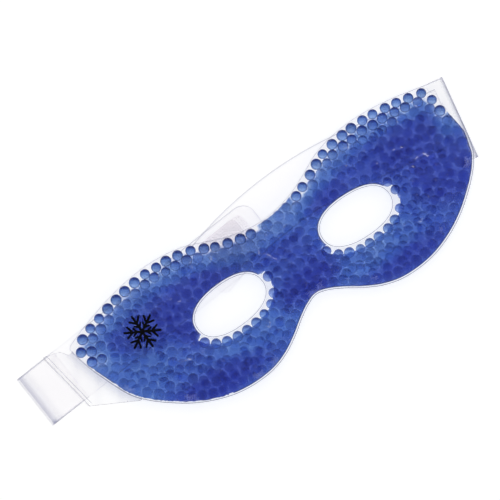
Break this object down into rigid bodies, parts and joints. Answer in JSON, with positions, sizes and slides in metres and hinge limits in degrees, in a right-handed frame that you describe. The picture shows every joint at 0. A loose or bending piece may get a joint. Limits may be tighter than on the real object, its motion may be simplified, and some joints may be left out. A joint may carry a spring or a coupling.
{
  "type": "gel bead eye mask",
  "caption": "Clear film eye mask pouch filled with blue gel beads, with two eye openings, folded end tabs and a clear hook-and-loop head strap.",
  "frame": {"origin": "on the resting plane under the nose bridge, on the symmetry plane between the eye openings and level with their centres", "axes": "+X along the mask to the wearer's left temple, +Y towards the brow, +Z out of the printed front face"},
  "size_m": [0.2416, 0.076, 0.0131],
  "materials": {
    "pouch_film": "clear, glossy, soft",
    "gel_bead": "wet, translucent",
    "carrier_gel": "wet, translucent",
    "clear_tab": "clear, glossy, soft",
    "clear_strap": "clear, glossy, soft",
    "hook_tape": "moulded hooks",
    "loop_tape": "brushed loop pile",
    "print_ink": "screen-printed ink"
  },
  "bodies": {
    "left_half": {"front_film_left": "pouch_film", "back_film_left": "pouch_film", "gel_beads_left": "gel_bead", "carrier_gel_left": "carrier_gel", "left_tab": "clear_tab", "left_strap_root": "clear_strap", "printed_mark": "print_ink"},
    "right_half": {"front_film_right": "pouch_film", "back_film_right": "pouch_film", "gel_beads_right": "gel_bead", "carrier_gel_right": "carrier_gel", "right_tab_root": "clear_tab"},
    "left_tail": {"left_strap_tail": "clear_strap", "hook_patch": "hook_tape"},
    "right_flap": {"right_tab_flap": "clear_tab", "right_strap": "clear_strap"},
    "right_tip": {"right_strap_tip": "clear_strap", "loop_patch": "loop_tape"}
  },
  "joints": [
    {"name": "nose_bridge_flex", "type": "hinge", "parent": "left_half", "child": "right_half", "pos_m": [0, 0, 0], "axis": [0, 1, 0], "range_deg": [0, 50]},
    {"name": "left_strap_fold", "type": "hinge", "parent": "left_half", "child": "left_tail", "pos_m": [-0.1342, 0.0154, 0.00302], "axis": [-0.0523, 0.9986, 0], "range_deg": [0, 178]},
    {"name": "right_strap_fold", "type": "hinge", "parent": "right_half", "child": "right_flap", "pos_m": [0.09958, 0.00995, 0.00252], "axis": [-0.1874, -0.9823, 0], "range_deg": [0, 178]},
    {"name": "strap_bend", "type": "hinge", "parent": "right_flap", "child": "right_tip", "pos_m": [0, 0.025, 0], "axis": [0, -1, 0], "range_deg": [0, 50]}
  ],
  "couplings": [
    {"joint": "strap_bend", "follows": "nose_bridge_flex", "ratio": 1}
  ]
}
